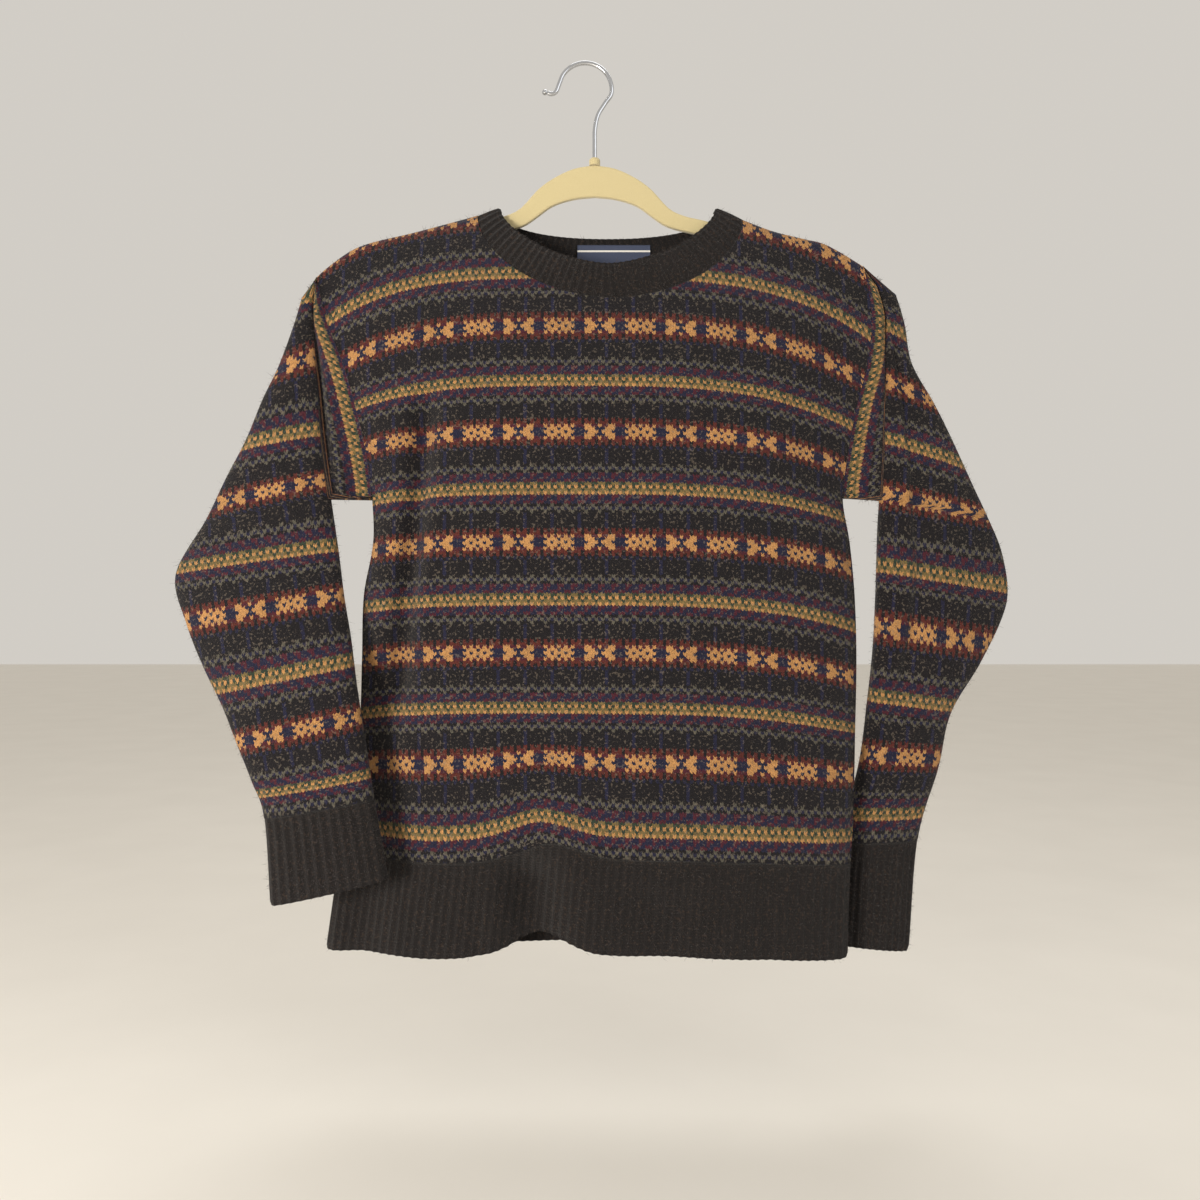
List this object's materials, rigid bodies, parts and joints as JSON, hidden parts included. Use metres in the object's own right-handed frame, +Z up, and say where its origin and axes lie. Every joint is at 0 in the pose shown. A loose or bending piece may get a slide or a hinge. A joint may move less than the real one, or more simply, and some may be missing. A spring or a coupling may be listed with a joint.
{
  "type": "striped sweater on a hanger",
  "caption": "Crew-neck sweater in brushed wool with traditional patterned bands and dark ribs, on a slim flocked hanger.",
  "frame": {"origin": "inner crown of the hanger's wire hook, where a rod or pin carries it", "axes": "+Z up, the sweater's front faces -Y, +X to its right as seen from the front"},
  "size_m": [0.777, 0.0949, 0.8431],
  "materials": {
    "banded_knit": "brushed wool stockinette with patterned bands of gold, rust, maroon, navy, green and grey on near black",
    "dark_rib": "brushed wool rib, heathered dark brown",
    "label_weave": "plain woven tape, bare",
    "flocked_hanger": "short beige flock on a moulded core",
    "hook_wire": "polished plated wire"
  },
  "bodies": {
    "root": {"front": "banded_knit", "back": "banded_knit", "left_sleeve": "banded_knit", "right_sleeve": "banded_knit", "front_hem": "dark_rib", "back_hem": "dark_rib", "left_cuff": "dark_rib", "right_cuff": "dark_rib", "neckband": "dark_rib", "neck_label": "label_weave", "hanger": "flocked_hanger", "hanger_collar": "flocked_hanger", "hanger_hook": "hook_wire", "hook_tip": "hook_wire"}
  },
  "joints": []
}
